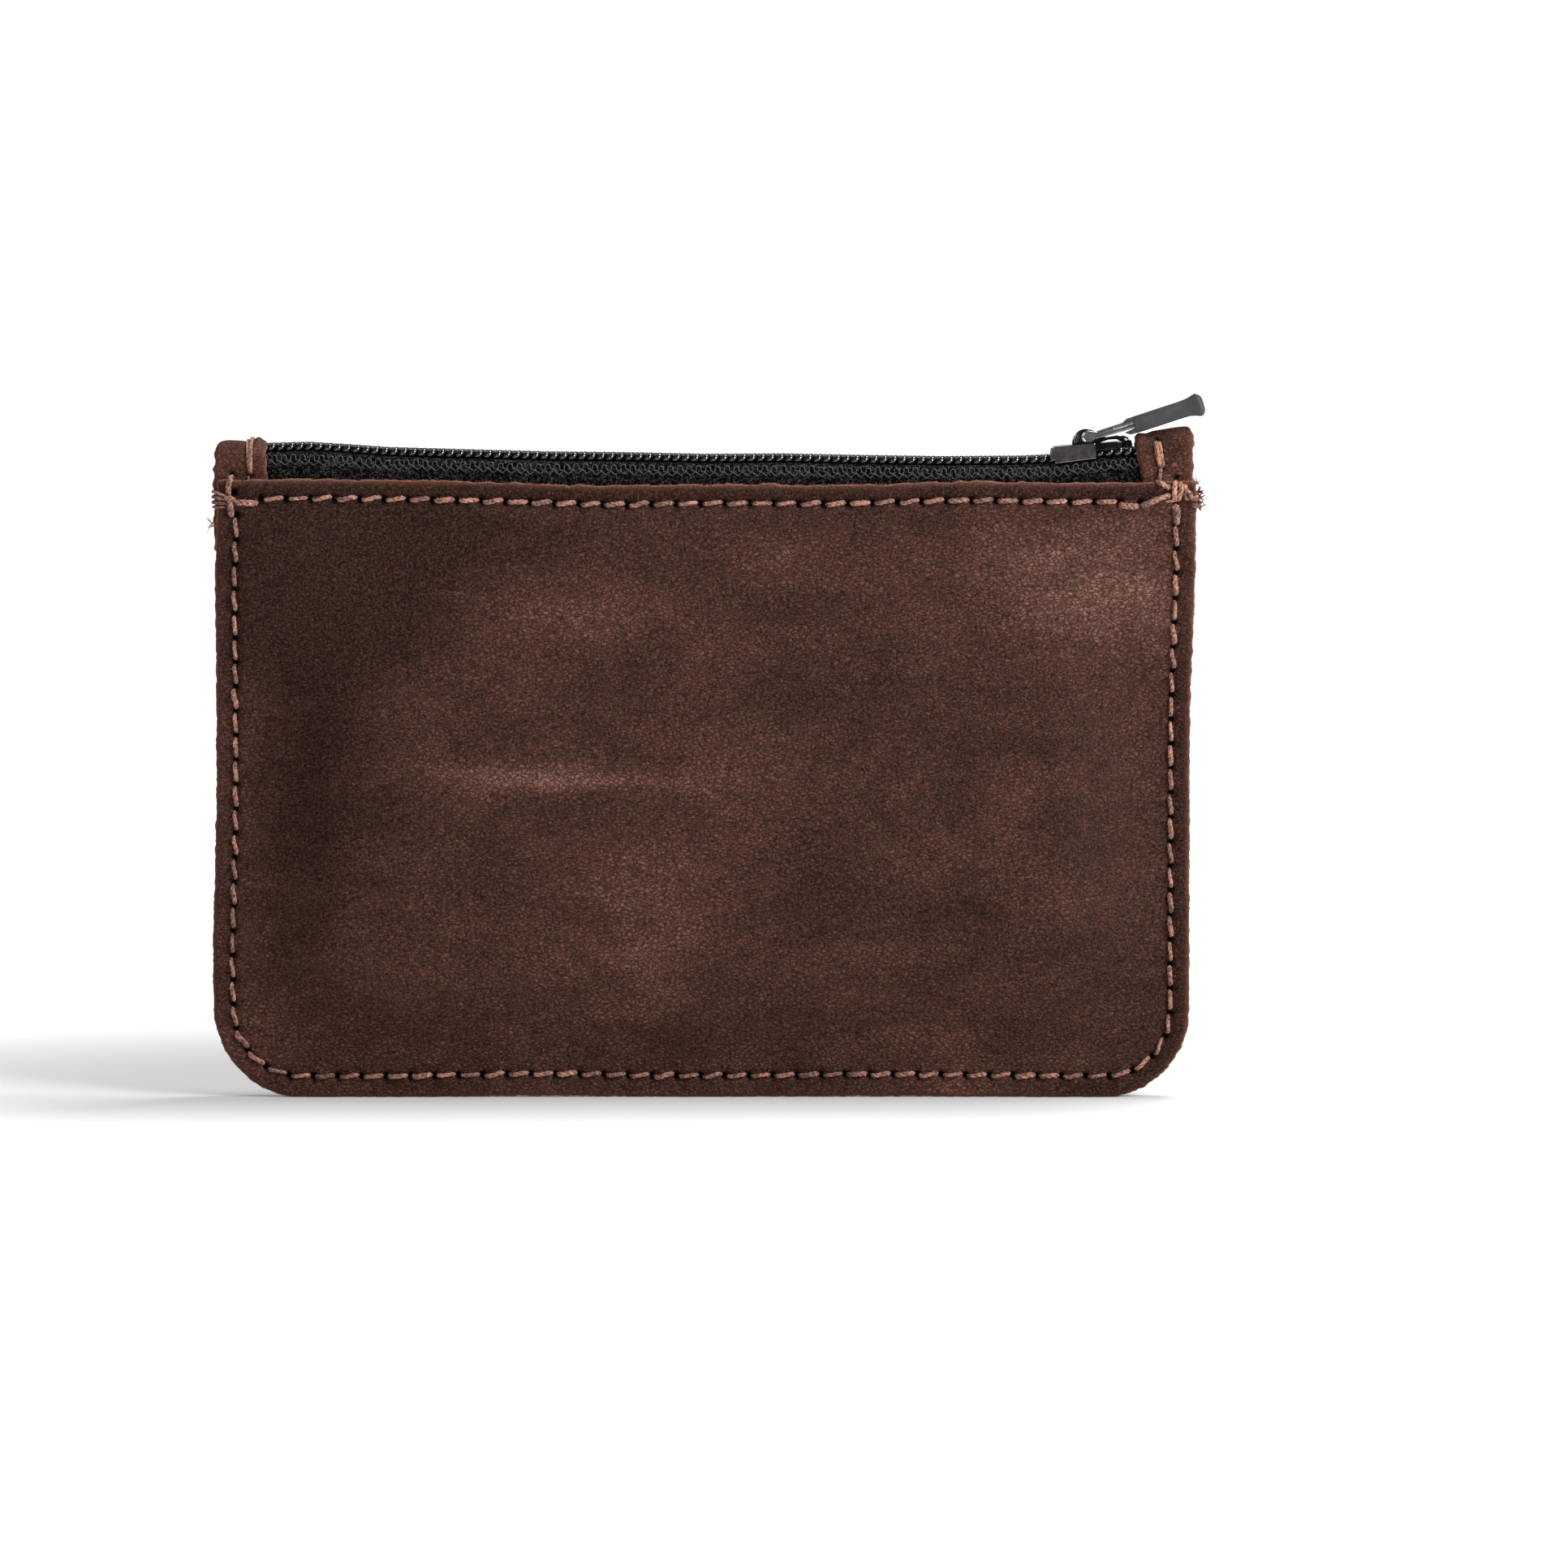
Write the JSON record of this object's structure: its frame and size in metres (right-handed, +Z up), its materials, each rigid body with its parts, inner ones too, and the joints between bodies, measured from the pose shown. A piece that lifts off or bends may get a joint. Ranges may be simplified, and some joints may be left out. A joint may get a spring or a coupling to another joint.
{
  "type": "zippered pouch",
  "caption": "Small flat leather pouch with stitched edges, a coil zipper along its top edge between folded leather end tabs, and a slider with a moulded pull.",
  "frame": {"origin": "middle of the pouch's bottom edge, where the front and back panels meet, on the surface that the pouch stands on", "axes": "+X along the zipper towards its closed end, +Y from the front panel to the back panel, +Z up"},
  "size_m": [0.1263, 0.0132, 0.0895],
  "materials": {
    "leather_body": "pull-up leather, matt, mottled dark brown",
    "leather_tab": "thin dark brown leather with a raw edge",
    "thread": "waxed tan twisted thread",
    "tape": "black woven zipper tape",
    "coil": "black glossy nylon coil",
    "cord": "black filler cord",
    "slider_metal": "dark gunmetal plating",
    "pull_rubber": "matt dark grey moulded grip"
  },
  "bodies": {
    "pouch": {"back_panel": "leather_body", "back_tape": "tape", "back_coil": "coil", "back_filler_cord": "cord", "back_seam_thread": "thread", "back_top_thread": "thread", "left_tab": "leather_tab", "right_tab": "leather_tab", "left_tab_thread": "thread", "right_tab_thread": "thread", "left_edge_thread": "thread", "right_edge_thread": "thread"},
    "front": {"front_panel": "leather_body", "front_tape": "tape", "front_coil": "coil", "front_filler_cord": "cord", "front_seam_thread": "thread", "front_top_thread": "thread"},
    "slider": {"slider_body": "slider_metal", "slider_bridge": "slider_metal"},
    "pull": {"pull_link": "slider_metal", "pull_grip": "pull_rubber"}
  },
  "joints": [
    {"name": "zipper_slide", "type": "slide", "parent": "pouch", "child": "slider", "axis": [-1, 0, 0], "range_m": [0, 0.097]},
    {"name": "pull_swing", "type": "hinge", "parent": "slider", "child": "pull", "pos_m": [0.0482, 0, 0.0833], "axis": [0, -1, 0], "range_deg": [0, 140]},
    {"name": "mouth_open", "type": "hinge", "parent": "pouch", "child": "front", "pos_m": [0, 0, 0], "axis": [1, 0, 0], "range_deg": [0, 10], "deforming": ["front_tape", "front_coil", "front_filler_cord", "back_coil", "left_edge_thread", "right_edge_thread"]}
  ],
  "couplings": [
    {"joint": "mouth_open", "follows": "zipper_slide", "rad_per_m": 1.7993}
  ]
}
